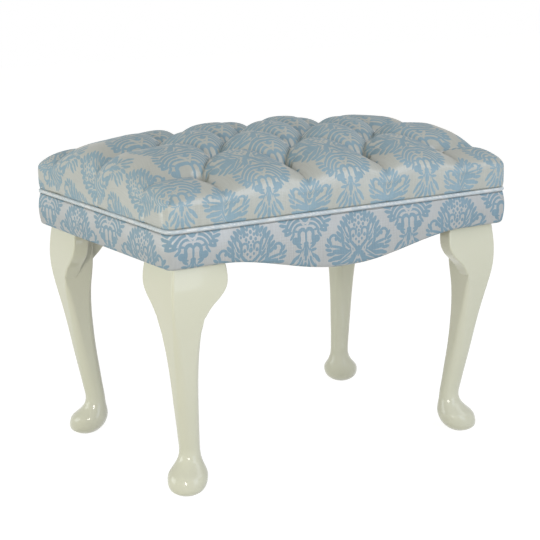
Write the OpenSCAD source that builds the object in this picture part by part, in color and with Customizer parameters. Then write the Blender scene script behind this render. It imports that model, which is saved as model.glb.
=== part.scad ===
// Upholstered vanity stool: a deep-buttoned seat on a shaped rail frame and four cabriole legs.
// X is the long side, the front faces -Y, Z is up and the origin is on the floor at the centre.

/* [Overall] */
// Length of the seat at the piping line
seat_w = 568; // [480:4:640]
// Depth of the seat at the piping line
seat_d = 400; // [340:5:460]
// Height of the frame's straight underside above the floor, which is the leg's length
leg_h = 325; // [280:1:360]

/* [Cabriole legs] */
// Plan size of the leg's square block at the knee
leg_block = 46; // [42:1:50]
// Inset of the leg's outer faces from the piping line
leg_inset = 13; // [11:0.5:15]
// Diameter of the leg at the ankle
ankle_d = 29; // [24:1:32]
// Diameter of the club foot at its widest
foot_d = 56; // [50:1:60]
// How far the leg's axis runs inward, along each side, from the knee to the ankle
ankle_run = 19; // [16:1:24]
// How far the club foot's centre stands back outward from the ankle, along each side
toe_run = 8; // [4:1:9]
// Diameter of the flat that the foot stands on
foot_flat_d = 24; // [18:1:30]

/* [Knee brackets] */
// Thickness of a bracket, front to back
bracket_t = 24; // [18:1:30]
// Reach of a bracket along the rail, from the leg's block
bracket_reach = 36; // [28:1:44]
// Height of a bracket from its lower tip to the rail
bracket_h = 74; // [66:1:84]

/* [Frame] */
// Thickness of the rails
rail_t = 22; // [18:1:26]
// Height of the rails at the corners
rail_h = 39; // [34:1:48]
// Inset of the rails' outer faces from the piping line, which the wadding and cover fill
rail_inset = 3; // [2.5:0.25:4]
// Radius of the frame's vertical corners
rail_corner_r = 8; // [5:1:12]
// Drop of the front and back rails' lower edges at the middle
serpentine_drop = 28; // [15:1:36]
// Length of the straight lower edge at each end of the front and back rails
serpentine_start = 80; // [70:1:100]
// Side of the triangular corner blocks along each rail
block_side = 72; // [64:1:80]
// Height of the corner blocks
block_h = 24; // [20:1:26]

/* [Fixings] */
// Diameter of the hanger bolts that hold the legs
bolt_d = 8; // [6:1:8]
// Depth of the hanger bolt in the leg
bolt_depth = 38; // [30:1:50]
// Outer diameter of the bolt washers
washer_d = 17; // [15:1:18]
// Thickness of the bolt washers
washer_t = 1.6; // [1:0.1:2]
// Width across the corners of the hexagon nuts
nut_d = 14.4; // [13:0.1:15]
// Height of the nuts
nut_h = 5.5; // [4:0.5:6.5]
// Length of a hanger bolt beyond its nut
bolt_end = 1.5; // [1:0.5:3]
// Diameter of the beech dowels in the rail joints
dowel_d = 8; // [6:1:10]
// Length of the dowels
dowel_l = 36; // [30:1:38]
// Shank diameter of the wood screws
screw_d = 4; // [3:0.5:4.5]
// Head diameter of the wood screws
screw_head_d = 8; // [7:0.5:9]
// Length of the wood screws
screw_l = 30; // [24:1:32]

/* [Seat board and foam] */
// Thickness of the plywood seat board
board_t = 9; // [6:1:12]
// Height of the foam pad's top above the seat board
foam_h = 42; // [34:1:42]
// Inset of the foam pad from the piping line
foam_inset = 26; // [24:1:34]
// Diameter of the holes cut in the foam for the buttons' twine
foam_hole_d = 12; // [8:1:14]

/* [Buttoned cushion] */
// Spacing of the buttons along the seat
button_step_x = 133; // [115:1:140]
// Spacing of the buttons across the seat, in one row's line
button_step_y = 137; // [118:1:140]
// Diameter of the covered buttons
button_d = 20; // [16:1:22]
// Height of the covered buttons
button_h = 8; // [6:0.5:9]
// Height of the cushion's highest lump above the seat board
crown_h = 104; // [94:1:110]
// Fall of the crown from the middle to the long edges
crown_fall_y = 35; // [24:1:38]
// Fall of the crown from the middle to the short edges
crown_fall_x = 19; // [12:1:24]
// Height of the cushion's fullest side above the seat board
side_full_h = 34; // [28:1:36]
// How far the cushion's sides stand out beyond the piping line
side_bulge = 4.5; // [2:0.5:6]
// Width of the rounded shoulder inside the cushion's edge
shoulder = 55; // [45:1:60]
// Corner radius of the cushion at its fullest
cushion_corner_r = 22; // [20:1:34]
// How far each pleat draws the cushion's side inward
pleat_draw = 3; // [1:0.5:4]

/* [Piping and border] */
// Diameter of the piping cord
piping_d = 6; // [5:0.5:7]
// Corner radius of the piping line
piping_corner_r = 15; // [12:1:20]
// Thickness of the damask cover
fabric_t = 1.2; // [0.8:0.1:1.4]
// Width of the cover's turn under the rails
turn_under = 11; // [8:0.5:12]
// Thickness of the card back-tacking strip
tack_strip_t = 1; // [0.8:0.1:1.2]
// Width of the card back-tacking strip
tack_strip_w = 12; // [10:1:14]

/* [Underside] */
// Thickness of the bottom cloth
bottom_cloth_t = 0.6; // [0.4:0.1:1]
// Diameter of the waxed button twine
twine_d = 2; // [1.5:0.5:3]
// Diameter of the washers that anchor the twine under the board
anchor_d = 16; // [14:1:20]
// Thickness of those washers
anchor_t = 1.5; // [1:0.1:2]
// Width of the staples' crowns
staple_w = 10; // [8:1:12]
// Thickness of the staples' wire
staple_t = 0.8; // [0.6:0.1:1]

/* [Hidden] */
$fn = 48;
// Running clearance round pins, screws and twine
fit_gap = 0.1;
// Clearance between the soft pieces and their neighbours
soft_gap = 0.3;
// Overrun of every cut
over = 1;

half_w = seat_w / 2;
half_d = seat_d / 2;
rail_top = leg_h + rail_h;
board_top = rail_top + board_t;
piping_r = piping_d / 2;
piping_z = board_top + piping_r - fabric_t;
foam_top = board_top + foam_h;
rail_in = rail_inset + rail_t;
leg_mid = leg_inset + leg_block / 2;
border_top = piping_z - piping_r - soft_gap;

CORNERS = [[-1, -1], [1, -1], [-1, 1], [1, 1]];

// Puts a piece that is drawn at the front left corner, with X and Y measured inward from the
// piping line, at the corner given by its two signs
module at_corner(c) {
  translate([c[0] * half_w, c[1] * half_d, 0])
    mirror([c[0] > 0 ? 1 : 0, 0, 0])
      mirror([0, c[1] > 0 ? 1 : 0, 0])
        children();
}

module at_corners() {
  for (c = CORNERS)
    at_corner(c) children();
}

function smooth(t) = let (s = min(1, max(0, t))) s * s * (3 - 2 * s);

// Leg stations from just under the floor, where the foot is cut flat, up to the rail: each has its
// height as a share of the leg
leg_z_shares = [-0.004, 0.012, 0.03, 0.053, 0.08, 0.11, 0.142, 0.176, 0.22, 0.275, 0.332, 0.39, 0.456,
                0.522, 0.59, 0.655, 0.72, 0.765, 0.815, 0.888, 1];
// Share of the ankle's inward run at each station
leg_run_shares = [1, 1, 1, 1, 1, 1, 1, 1, 0.9, 0.78, 0.65, 0.52, 0.39, 0.27, 0.15, 0.04, -0.05, -0.08,
                  -0.1, -0.1, 0];
// Share of the club foot's outward stand at each station
leg_toe_shares = [1.55, 1.55, 1.4, 1.15, 0.9, 0.35, 0.05, 0, 0, 0, 0, 0, 0, 0, 0, 0, 0, 0, 0, 0, 0];
// Share of the foot's full width that each station of the foot has, over the flat at first and then
// over the ankle
leg_foot_shares = [0, 0.56, 0.87, 0.99, 1, 0.5, 0.12, 0, 0, 0, 0, 0, 0, 0, 0, 0, 0, 0, 0, 0, 0];
// Share of the way from the ankle's width to the block's
leg_block_shares = [0, 0, 0, 0, 0, 0, 0, 0, 0.04, 0.09, 0.14, 0.19, 0.25, 0.33, 0.45, 0.63, 0.83, 1.03,
                    1.18, 1.24, 1];
// Power of the section's superellipse: a circle is 2 and a square is large
leg_power_shares = [2, 2, 2, 2, 2, 2, 2, 2, 2, 2.1, 2.3, 2.5, 2.8, 3.3, 4, 5.2, 8, 12, 18, 24, 24];
leg_sides = 24;

function signed_power(v, p) = sign(v) * pow(abs(v), p);

// Half width of the section at station i, along the leg's own sides
function leg_half(i) =
  let (below = i < 5,
       round_half = below
         ? (foot_flat_d + leg_foot_shares[i] * (foot_d - foot_flat_d)) / 2
         : (ankle_d + leg_foot_shares[i] * (foot_d - ankle_d)) / 2)
    round_half + leg_block_shares[i] * (leg_block - ankle_d) / 2;

function leg_centre(i) = leg_mid + leg_run_shares[i] * ankle_run - leg_toe_shares[i] * toe_run;

function leg_ring(i) =
  [for (s = [0 : leg_sides - 1])
    let (a = s * 360 / leg_sides, p = 2 / leg_power_shares[i], h = leg_half(i), c = leg_centre(i))
      [c + h * signed_power(cos(a), p), c + h * signed_power(sin(a), p), leg_z_shares[i] * leg_h]];

// Closed skin over a stack of rings that all have n points, listed anticlockwise from above
module loft(rings, n) {
  last = len(rings) - 1;
  points = [for (r = rings) each r];
  walls = [for (k = [0 : last - 1], s = [0 : n - 1])
            let (a = k * n + s, b = k * n + (s + 1) % n)
              each [[a, a + n, b + n], [a, b + n, b]]];
  bottom = [[for (s = [0 : n - 1]) s]];
  top = [[for (s = [0 : n - 1]) last * n + n - 1 - s]];
  polyhedron(points = points, faces = concat(walls, bottom, top), convexity = 4);
}

module leg(c) {
  color("ivory")
    at_corner(c)
      difference() {
        loft([for (i = [0 : len(leg_z_shares) - 1]) leg_ring(i)], leg_sides);
        translate([0, 0, -foot_d])
          cube([leg_inset + leg_block + foot_d, leg_inset + leg_block + foot_d, foot_d]);
        translate([leg_mid, leg_mid, leg_h - bolt_depth - over])
          cylinder(d = bolt_d + 2 * fit_gap, h = bolt_depth + 2 * over);
      }
}

// Outline of a knee bracket: reach from the leg's block, and height below the rail
bracket_reach_shares = [0.91, 0.97, 1, 0.99, 0.94, 0.85, 0.73, 0.59, 0.45, 0.31, 0.18, 0.08, 0.02];
bracket_drop_shares = [0, 0.12, 0.26, 0.37, 0.46, 0.54, 0.61, 0.68, 0.74, 0.81, 0.88, 0.95, 1];
bracket_face = leg_inset + leg_block;

module bracket_outline() {
  polygon(concat(
    [[0, -bracket_h], [0, 0]],
    [for (i = [0 : len(bracket_reach_shares) - 1])
      [bracket_reach_shares[i] * bracket_reach, -bracket_drop_shares[i] * bracket_h]]));
}

module knee_bracket() {
  translate([bracket_face + fit_gap, leg_inset + bracket_t, leg_h])
    rotate([90, 0, 0])
      linear_extrude(bracket_t)
        bracket_outline();
}

module knee_brackets(c) {
  color("ivory")
    at_corner(c) {
      knee_bracket();
      mirror([1, -1, 0]) knee_bracket();
    }
}

// Drop of the front and back lower edges at distance x from the middle
serpentine_share = 0.95;
function edge_drop(x) =
  let (run = half_w - serpentine_start)
    serpentine_drop * smooth((run - abs(x)) / (run * serpentine_share));

// Points along the shaped lower edge, from left to right, lowered by extra
edge_steps = 32;
function edge_points(reach, extra) =
  let (run = half_w - serpentine_start)
    concat([[-reach, leg_h - extra]],
           [for (i = [0 : edge_steps])
             let (x = run * (2 * i / edge_steps - 1))
               [x, leg_h - edge_drop(x) - extra]],
           [[reach, leg_h - extra]]);

function backwards(v) = [for (i = [len(v) - 1 : -1 : 0]) v[i]];

// A block as deep as y0 to y1 whose underside follows the shaped lower edge
module shaped_block(reach, y0, y1, extra, top) {
  translate([0, y1, 0])
    rotate([90, 0, 0])
      linear_extrude(y1 - y0)
        polygon(concat(edge_points(reach, extra), [[reach, top], [-reach, top]]));
}

// A flat rectangle with round corners, its edges at inset inside the piping line
module plan(inset, r) {
  w = half_w - inset;
  d = half_d - inset;
  square([2 * w, 2 * (d - r)], center = true);
  square([2 * (w - r), 2 * d], center = true);
  for (c = CORNERS)
    translate([c[0] * (w - r), c[1] * (d - r)])
      circle(r = r);
}

// The same at a given distance outside the rails' faces
module frame_plan(out) {
  plan(rail_inset - out, rail_corner_r + out);
}

rail_reach = half_w - rail_inset;
rail_front_y = half_d - rail_inset;
rail_mid = rail_inset + rail_t / 2;
dowel_h_shares = [0.3, 0.7];
board_screw_w_shares = [-0.6, 0, 0.6];
board_screw_d_share = 0.5;
block_screw_share = 0.68;

module dowels(extra) {
  for (h = dowel_h_shares)
    translate([rail_mid, rail_in - dowel_l / 2 - extra, leg_h + h * rail_h])
      rotate([-90, 0, 0])
        cylinder(d = dowel_d + 2 * extra, h = dowel_l + 2 * extra);
}

// One wood screw pointing down from its head's flat top
module wood_screw(extra) {
  head_h = (screw_head_d - screw_d) / 2;
  translate([0, 0, -screw_l - extra])
    cylinder(d = screw_d + 2 * extra, h = screw_l + extra);
  translate([0, 0, -head_h])
    cylinder(d1 = screw_d + 2 * extra, d2 = screw_head_d + 2 * extra, h = head_h);
}

block_screw_head = rail_in + block_side * (1 - block_screw_share) - screw_head_d / 2;
block_screw_z = leg_h + block_h / 2;

module block_screw_pair(extra) {
  place = rail_in + block_side * block_screw_share;
  for (turn = [0, 1])
    mirror([turn, -turn, 0])
      translate([block_screw_head, place, block_screw_z])
        rotate([0, 90, 0])
          wood_screw(extra);
}

module board_screws_all(extra) {
  for (x = board_screw_w_shares, s = [-1, 1])
    translate([x * half_w, s * (half_d - rail_mid), board_top])
      wood_screw(extra);
  for (y = [-1, 1], s = [-1, 1])
    translate([s * (half_w - rail_mid), y * half_d * board_screw_d_share, board_top])
      wood_screw(extra);
}

// Holes in every rail, each round its own dowel or screw
module rail_holes() {
  at_corners() {
    dowels(fit_gap);
    block_screw_pair(fit_gap);
  }
  board_screws_all(fit_gap);
}

module long_rail(s) {
  color("burlywood")
    difference() {
      intersection() {
        if (s < 0)
          shaped_block(rail_reach, -rail_front_y, rail_t - rail_front_y, 0, rail_top);
        else
          shaped_block(rail_reach, rail_front_y - rail_t, rail_front_y, 0, rail_top);
        linear_extrude(board_top) frame_plan(0);
      }
      rail_holes();
    }
}

module short_rail(s) {
  length = seat_d - 2 * rail_in;
  color("burlywood")
    difference() {
      translate([s * (half_w - rail_mid) - rail_t / 2, -length / 2, leg_h])
        cube([rail_t, length, rail_h]);
      rail_holes();
    }
}

module corner_blocks() {
  color("tan")
    at_corners()
      difference() {
        translate([rail_in, rail_in, leg_h])
          linear_extrude(block_h)
            polygon([[0, 0], [block_side, 0], [0, block_side]]);
        block_screw_pair(fit_gap);
        for (turn = [0, 1])
          mirror([turn, -turn, 0])
            translate([block_screw_head, rail_in + block_side * block_screw_share, block_screw_z])
              rotate([0, 90, 0])
                cylinder(d = screw_head_d + 2 * fit_gap, h = block_side);
        translate([leg_mid, leg_mid, leg_h - over])
          cylinder(d = bolt_d + 2 * fit_gap, h = block_h + 2 * over);
      }
}

module block_screws() {
  color("silver")
    at_corners() block_screw_pair(0);
}

module rail_dowels() {
  color("wheat")
    at_corners() dowels(0);
}

module hanger_bolts() {
  color("silver")
    at_corners()
      translate([leg_mid, leg_mid, leg_h - bolt_depth])
        cylinder(d = bolt_d, h = bolt_depth + block_h + washer_t + nut_h + bolt_end);
}

module bolt_washers() {
  color("silver")
    at_corners()
      translate([leg_mid, leg_mid, leg_h + block_h])
        difference() {
          cylinder(d = washer_d, h = washer_t);
          translate([0, 0, -over])
            cylinder(d = bolt_d + 2 * fit_gap, h = washer_t + 2 * over);
        }
}

module bolt_nuts() {
  color("silver")
    at_corners()
      translate([leg_mid, leg_mid, leg_h + block_h + washer_t])
        difference() {
          cylinder(d = nut_d, h = nut_h, $fn = 6);
          translate([0, 0, -over])
            cylinder(d = bolt_d + 2 * fit_gap, h = nut_h + 2 * over);
        }
}

// Places of the buttons: rows of four and three in turn
long_row = 4;
last_row = 2;
BUTTONS = [for (r = [-last_row : last_row])
            let (odd = abs(r) % 2 == 1, n = odd ? long_row - 1 : long_row)
              for (i = [0 : n - 1])
                [(i - (n - 1) / 2) * button_step_x, r * button_step_y / last_row]];

module at_buttons() {
  for (b = BUTTONS)
    translate([b[0], b[1], 0]) children();
}

module seat_board() {
  color("peru")
    difference() {
      translate([0, 0, rail_top])
        linear_extrude(board_t) frame_plan(0);
      at_buttons()
        translate([0, 0, rail_top - over])
          cylinder(d = twine_d + 2 * fit_gap, h = board_t + 2 * over);
      board_screws_all(fit_gap);
    }
}

module seat_board_screws() {
  color("silver") board_screws_all(0);
}

module foam_pad() {
  color("lightyellow")
    difference() {
      translate([foam_inset - half_w, foam_inset - half_d, board_top])
        cube([seat_w - 2 * foam_inset, seat_d - 2 * foam_inset, foam_h]);
      at_buttons()
        translate([0, 0, board_top - over])
          cylinder(d = foam_hole_d, h = foam_h + 2 * over);
    }
}

// The cushion's outer form. A lump swells in every cell between the pleats: the cells are diamonds
// between the buttons, and straight-sided outside the outer buttons.
lump_power = 2.4;
dimple_power = 1.8;
pleat_share = 0.4;
shoulder_power = 2.6;
edge_pleat_share = 0.55;
outer_x = (long_row - 1) / 2 * button_step_x;
outer_y = button_step_y;
full_x = half_w + side_bulge;
full_y = half_d + side_bulge;
side_z = board_top + side_full_h;
button_z = foam_top + button_h;
crown_z = board_top + crown_h;

function nearest(v) = abs(2 * (v - round(v)));

// Share of the depth lost at a place that lies u and v of the way from its cell's middle
function sunk(u, v) =
  pleat_share * (pow(u, lump_power) + pow(v, lump_power) - pow(u * v, lump_power))
  + (1 - pleat_share) * pow(u * v, dimple_power);

// Share that is left of a straight pleat's depth, from the outer buttons to the edge
function fading(v, from, to) = 1 - (1 - edge_pleat_share) * smooth((v - from) / (to - from));

function depth_share(x, y) =
  let (a = x / button_step_x + y / button_step_y,
       b = x / button_step_x - y / button_step_y,
       across = x <= outer_x ? nearest(x / button_step_x)
              : max(0, 1 - (x - outer_x) / (full_x - outer_x)),
       along = y <= outer_y ? nearest(y / button_step_y - 0.5)
             : max(0, 1 - (y - outer_y) / (full_y - outer_y)),
       front = sunk(across, across) * fading(y, outer_y, full_y),
       side = sunk(along, along) * fading(x, outer_x, full_x))
    x <= outer_x && y <= outer_y ? sunk(nearest(a), nearest(b))
    : x <= outer_x ? front
    : y <= outer_y ? side
    : max(front, side);

function shoulder_rise(d) =
  let (s = min(1, max(0, 1 - d / shoulder)))
    pow(1 - pow(s, shoulder_power), 1 / shoulder_power);

function crown_top(x, y) = crown_z - crown_fall_x * pow(x / half_w, 2) - crown_fall_y * pow(y / half_d, 2);

function cushion_z(x, y) =
  let (u = abs(x), v = abs(y), crown = crown_top(u, v),
       top = crown - depth_share(u, v) * (crown - button_z))
    side_z + (top - side_z) * shoulder_rise(full_x - u) * shoulder_rise(full_y - v);

// Rounds the plan's corners: square rings round each corner's centre become round ones
function rounded(x, y, hx, hy, r) =
  let (dx = abs(x) - (hx - r), dy = abs(y) - (hy - r))
    dx <= 0 || dy <= 0 ? [x, y]
    : let (k = max(dx, dy) / norm([dx, dy]))
        [sign(x) * (hx - r + dx * k), sign(y) * (hy - r + dy * k)];

// Grid lines: even steps out to the outer buttons, then closer ones over the shoulder
cell_steps = 3;
edge_step_shares = [0.27, 0.52, 0.74, 0.91, 1];
function half_lines(inner, steps, outer) =
  concat([for (i = [1 : steps]) inner * i / steps],
         [for (s = edge_step_shares) inner + (outer - inner) * s]);
function both_ways(v) = concat([for (i = [len(v) - 1 : -1 : 0]) -v[i]], [0], v);
LINES_X = both_ways(half_lines(outer_x, 3 * cell_steps, full_x));
LINES_Y = both_ways(half_lines(outer_y, 2 * cell_steps, full_y));
NX = len(LINES_X);
NY = len(LINES_Y);

TOP_POINTS = [for (y = LINES_Y, x = LINES_X)
               let (p = rounded(x, y, full_x, full_y, cushion_corner_r))
                 [p[0], p[1], cushion_z(x, y)]];

// The quads' diagonals lie along the pleats
function quad(i, j) =
  let (a = j * NX + i, b = a + 1, c = a + NX + 1, d = a + NX,
       x = (LINES_X[i] + LINES_X[i + 1]) / 2, y = (LINES_Y[j] + LINES_Y[j + 1]) / 2,
       k = floor(x / button_step_x * 2) + floor(y / button_step_y * 2))
    abs(x) > outer_x || abs(y) > outer_y
      ? (x * y > 0 ? [[a, d, c], [a, c, b]] : [[a, d, b], [b, d, c]])
      : k % 2 == 0 ? [[a, d, b], [b, d, c]] : [[a, d, c], [a, c, b]];

// Indices of the grid's outline, anticlockwise from above
RIM = concat([for (i = [0 : NX - 2]) i],
             [for (j = [0 : NY - 2]) j * NX + NX - 1],
             [for (i = [NX - 1 : -1 : 1]) (NY - 1) * NX + i],
             [for (j = [NY - 1 : -1 : 1]) j * NX]);
NR = len(RIM);

// Rings below the fullest side: height, how far each stands inside it, and its corner radius
side_low_share = 0.42;
side_in_shares = [0.15, 0.9];
side_corner_share = 0.8;
seam_z = piping_z + piping_r + soft_gap;
ring_z = [side_z - side_full_h * side_low_share, seam_z, seam_z, board_top];
seam_in = side_bulge + piping_r + soft_gap;
ring_in = [side_bulge * side_in_shares[0], side_bulge * side_in_shares[1], seam_in, seam_in];
seam_r = piping_corner_r - piping_r;
ring_r = [cushion_corner_r * side_corner_share, piping_corner_r, seam_r, seam_r];
ring_pleat_shares = [0.8, 0.3, 0, 0];

function side_point(k, index) =
  let (i = index % NX, j = floor(index / NX), x = LINES_X[i], y = LINES_Y[j],
       hx = full_x - ring_in[k], hy = full_y - ring_in[k],
       draw = pleat_draw * ring_pleat_shares[k] * depth_share(abs(x), abs(y)) / edge_pleat_share,
       sx = abs(x) == full_x ? hx - draw : abs(x) * hx / full_x,
       sy = abs(y) == full_y ? hy - draw : abs(y) * hy / full_y,
       p = rounded(sign(x) * sx, sign(y) * sy, hx, hy, ring_r[k]))
    [p[0], p[1], ring_z[k]];

SIDE_POINTS = [for (k = [0 : len(ring_z) - 1], s = RIM) side_point(k, s)];

function side_index(k, s) = k < 0 ? RIM[s % NR] : NX * NY + k * NR + s % NR;

CUSHION_FACES = concat(
  [for (j = [0 : NY - 2], i = [0 : NX - 2]) each quad(i, j)],
  [for (k = [-1 : len(ring_z) - 2], s = [0 : NR - 1])
    let (a = side_index(k, s), b = side_index(k, s + 1),
         c = side_index(k + 1, s + 1), d = side_index(k + 1, s))
      each [[a, b, c], [a, c, d]]],
  [[for (s = [0 : NR - 1]) side_index(len(ring_z) - 1, s)]]);

module seat_cover() {
  color("lightsteelblue")
    difference() {
      polyhedron(points = concat(TOP_POINTS, SIDE_POINTS), faces = CUSHION_FACES, convexity = 6);
      translate([foam_inset - half_w - soft_gap, foam_inset - half_d - soft_gap, board_top - over])
        cube([seat_w - 2 * foam_inset + 2 * soft_gap, seat_d - 2 * foam_inset + 2 * soft_gap,
              foam_h + soft_gap + over]);
      at_buttons()
        translate([0, 0, foam_top])
          cylinder(d = button_d + 2 * soft_gap, h = crown_h);
    }
}

// A covered button: a flat back and a domed front
button_rim_share = 0.35;
module cover_buttons() {
  color("lightsteelblue")
    at_buttons()
      translate([0, 0, foam_top]) {
        cylinder(d = button_d, h = button_h * button_rim_share);
        dome_h = button_h * (1 - button_rim_share);
        dome_r = (pow(button_d / 2, 2) + pow(dome_h, 2)) / (2 * dome_h);
        translate([0, 0, button_h - dome_r])
          intersection() {
            sphere(r = dome_r);
            translate([0, 0, dome_r - dome_h])
              cylinder(d = button_d, h = dome_h);
          }
      }
}

module button_twines() {
  color("linen")
    at_buttons() {
      translate([0, 0, rail_top - anchor_t])
        cylinder(d = twine_d, h = anchor_t + board_t + foam_h);
      translate([0, 0, rail_top - anchor_t - twine_d])
        cylinder(d = 2 * twine_d, h = twine_d);
    }
}

module twine_anchors() {
  color("silver")
    at_buttons()
      translate([0, 0, rail_top - anchor_t])
        difference() {
          cylinder(d = anchor_d, h = anchor_t);
          translate([0, 0, -over])
            cylinder(d = twine_d + 2 * fit_gap, h = anchor_t + 2 * over);
        }
}

module piping() {
  color("aliceblue")
    translate([0, 0, piping_z]) {
      for (s = [-1, 1]) {
        translate([piping_corner_r - half_w, s * half_d, 0])
          rotate([0, 90, 0])
            cylinder(d = piping_d, h = seat_w - 2 * piping_corner_r);
        translate([s * half_w, half_d - piping_corner_r, 0])
          rotate([90, 0, 0])
            cylinder(d = piping_d, h = seat_d - 2 * piping_corner_r);
      }
      for (c = CORNERS)
        translate([c[0] * (half_w - piping_corner_r), c[1] * (half_d - piping_corner_r), 0])
          rotate([0, 0, c[0] > 0 ? (c[1] > 0 ? 0 : 270) : (c[1] > 0 ? 90 : 180)])
            rotate_extrude(angle = 90)
              translate([piping_corner_r, 0])
                circle(d = piping_d);
    }
}

module tack_strip() {
  color("khaki")
    translate([0, 0, border_top - tack_strip_w])
      linear_extrude(tack_strip_w)
        difference() {
          frame_plan(tack_strip_t);
          frame_plan(0);
        }
}

// Polyester wadding between the rails and the border's cover
module border_wadding() {
  color("white")
    difference() {
      intersection() {
        shaped_block(seat_w, -seat_d, seat_d, 0, border_top);
        linear_extrude(board_top) frame_plan(rail_inset - fabric_t);
      }
      translate([0, 0, over])
        linear_extrude(board_top) frame_plan(0);
      tack_strip();
    }
}

// The damask border: a band round the rails, turned under their lower edges
module border_cover() {
  color("lightblue")
    difference() {
      intersection() {
        shaped_block(seat_w, -seat_d, seat_d, fabric_t, border_top);
        linear_extrude(board_top) frame_plan(rail_inset);
      }
      intersection() {
        shaped_block(seat_w, -seat_d, seat_d, 0, board_top);
        linear_extrude(board_top + over) frame_plan(rail_inset - fabric_t);
      }
      translate([0, 0, over])
        linear_extrude(board_top)
          square([seat_w - 2 * turn_under, seat_d - 2 * turn_under], center = true);
    }
}

// Room that the legs and brackets need in the bottom cloth
module leg_notch() {
  reach = bracket_face + bracket_reach + 2 * soft_gap;
  depth = leg_inset + bracket_t + soft_gap;
  block = leg_inset + leg_block + 2 * soft_gap;
  cube([reach, depth, board_top]);
  cube([depth, reach, board_top]);
  cube([block, block, board_top]);
}

module bottom_cloth() {
  edge = turn_under + soft_gap;
  color("dimgray")
    difference() {
      intersection() {
        shaped_block(half_w - edge, edge - half_d, half_d - edge, bottom_cloth_t, leg_h);
        translate([edge - half_w, edge - half_d, 0])
          cube([seat_w - 2 * edge, seat_d - 2 * edge, leg_h]);
      }
      shaped_block(seat_w, -seat_d, seat_d, 0, board_top);
      at_corners() leg_notch();
    }
}

// Staples through the bottom cloth, spaced along each rail between the brackets
staple_shares = [-0.5, -0.25, 0, 0.25, 0.5];
module staple(w) {
  translate([-w / 2, -staple_t / 2, -staple_t - bottom_cloth_t])
    cube([w, staple_t, staple_t]);
}

module cloth_staples() {
  color("silver") {
    for (x = staple_shares, s = [-1, 1])
      translate([x * half_w, s * (half_d - rail_mid), leg_h - edge_drop(x * half_w)])
        staple(staple_w);
    for (y = [-1, 0, 1], s = [-1, 1])
      translate([s * (half_w - rail_mid), y * half_d / 4, leg_h])
        rotate([0, 0, 90])
          staple(staple_w);
  }
}

leg(CORNERS[0]);  // leg_front_left
leg(CORNERS[1]);  // leg_front_right
leg(CORNERS[2]);  // leg_back_left
leg(CORNERS[3]);  // leg_back_right
knee_brackets(CORNERS[0]);  // knee_brackets_front_left
knee_brackets(CORNERS[1]);  // knee_brackets_front_right
knee_brackets(CORNERS[2]);  // knee_brackets_back_left
knee_brackets(CORNERS[3]);  // knee_brackets_back_right
long_rail(-1);  // rail_front
long_rail(1);  // rail_back
short_rail(-1);  // rail_left
short_rail(1);  // rail_right
corner_blocks();
block_screws();
rail_dowels();
hanger_bolts();
bolt_washers();
bolt_nuts();
seat_board();
seat_board_screws();
foam_pad();
seat_cover();
cover_buttons();
button_twines();
twine_anchors();
piping();
tack_strip();
border_wadding();
border_cover();
bottom_cloth();
cloth_staples();
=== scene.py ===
# Upholstered vanity stool: deep-buttoned damask seat, piped and shaped border, cabriole legs.
# Lengths are in millimetres and are turned to metres when a mesh is made.
import math

import bpy
import numpy as np
from mathutils import Matrix, Vector


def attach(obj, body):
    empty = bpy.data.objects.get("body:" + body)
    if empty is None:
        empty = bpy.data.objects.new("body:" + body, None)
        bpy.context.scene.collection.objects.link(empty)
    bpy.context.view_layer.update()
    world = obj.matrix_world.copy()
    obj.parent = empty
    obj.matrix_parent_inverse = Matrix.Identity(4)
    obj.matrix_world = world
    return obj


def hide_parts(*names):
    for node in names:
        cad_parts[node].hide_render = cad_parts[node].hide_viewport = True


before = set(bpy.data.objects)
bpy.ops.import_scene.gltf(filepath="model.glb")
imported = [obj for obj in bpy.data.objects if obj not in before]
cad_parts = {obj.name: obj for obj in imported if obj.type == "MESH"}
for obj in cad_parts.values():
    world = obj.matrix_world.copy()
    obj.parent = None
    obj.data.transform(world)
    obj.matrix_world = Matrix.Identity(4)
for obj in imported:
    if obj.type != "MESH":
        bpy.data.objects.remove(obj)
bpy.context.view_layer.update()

MM = 0.001

# Sizes, the model's own apart from piping_corner_r, which is 15 there and 12 in the photograph
seat_w, seat_d, leg_h = 568, 400, 325
leg_block, leg_inset, ankle_d, foot_d = 46, 13, 29, 56
ankle_run, toe_run, foot_flat_d = 19, 8, 24
bracket_t, bracket_reach, bracket_h = 24, 36, 74
rail_h, serpentine_drop, serpentine_start = 39, 28, 80
board_t, foam_h, foam_inset = 9, 42, 26
step_x, step_y, button_h = 133, 137, 8
crown_h, crown_fall_y, crown_fall_x, side_full_h = 104, 35, 19, 34
side_bulge, shoulder, cushion_corner_r, pleat_draw = 4.5, 55, 22, 3
piping_d, piping_corner_r, fabric_t, turn_under = 6, 12, 1.2, 11
bolt_depth, bolt_d, soft_gap = 38, 8, 0.3

half_w, half_d = seat_w / 2, seat_d / 2
rail_top = leg_h + rail_h
board_top = rail_top + board_t
piping_r = piping_d / 2
piping_z = board_top + piping_r - fabric_t
border_top = piping_z - piping_r - soft_gap
foam_top = board_top + foam_h
button_z = foam_top + button_h
side_z = board_top + side_full_h
crown_z = board_top + crown_h
full_x, full_y = half_w + side_bulge, half_d + side_bulge
outer_x, outer_y = 1.5 * step_x, step_y
leg_mid = leg_inset + leg_block / 2
corners = {"front_left": (-1, -1), "front_right": (1, -1), "back_left": (-1, 1), "back_right": (1, 1)}
buttons = [((i - (n - 1) / 2) * step_x, r * step_y / 2)
           for r in range(-2, 3) for n in (3 if r % 2 else 4,) for i in range(n)]

# The damask's repeat: columns of medallions, each dropped by half against the next
column_w, half_drop = 88.0, 90.0


def smooth(t):
    """0 up to t = 0 and 1 from t = 1, with an even curve between."""
    t = np.clip(t, 0, 1)
    return t * t * (3 - 2 * t)


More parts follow.
